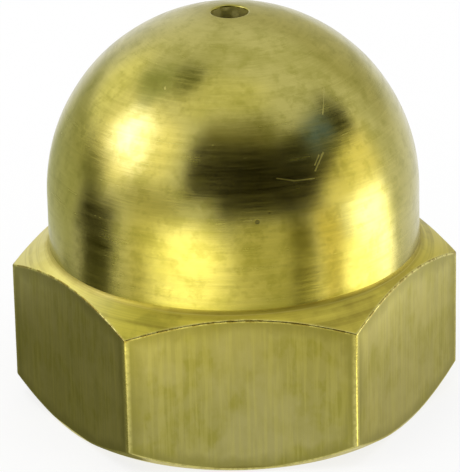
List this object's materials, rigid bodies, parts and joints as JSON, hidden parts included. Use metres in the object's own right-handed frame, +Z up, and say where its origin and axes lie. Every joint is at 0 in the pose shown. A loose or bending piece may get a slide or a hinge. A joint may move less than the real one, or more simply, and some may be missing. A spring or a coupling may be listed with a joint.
{
  "type": "cap nut",
  "caption": "Brass cap nut: a hexagon with a hemispherical crown over a blind tapped hole, and a small vent drilled through the crown.",
  "frame": {"origin": "centre of the flat bearing face", "axes": "+Z up the thread axis to the crown, with opposite flats of the hexagon facing -Y and +Y and opposite corners on X"},
  "size_m": [0.0196, 0.017, 0.0178],
  "materials": {
    "brass": "turned crown and chamfers, drawn flats"
  },
  "bodies": {
    "root": {"cap_nut": "brass"}
  },
  "joints": []
}
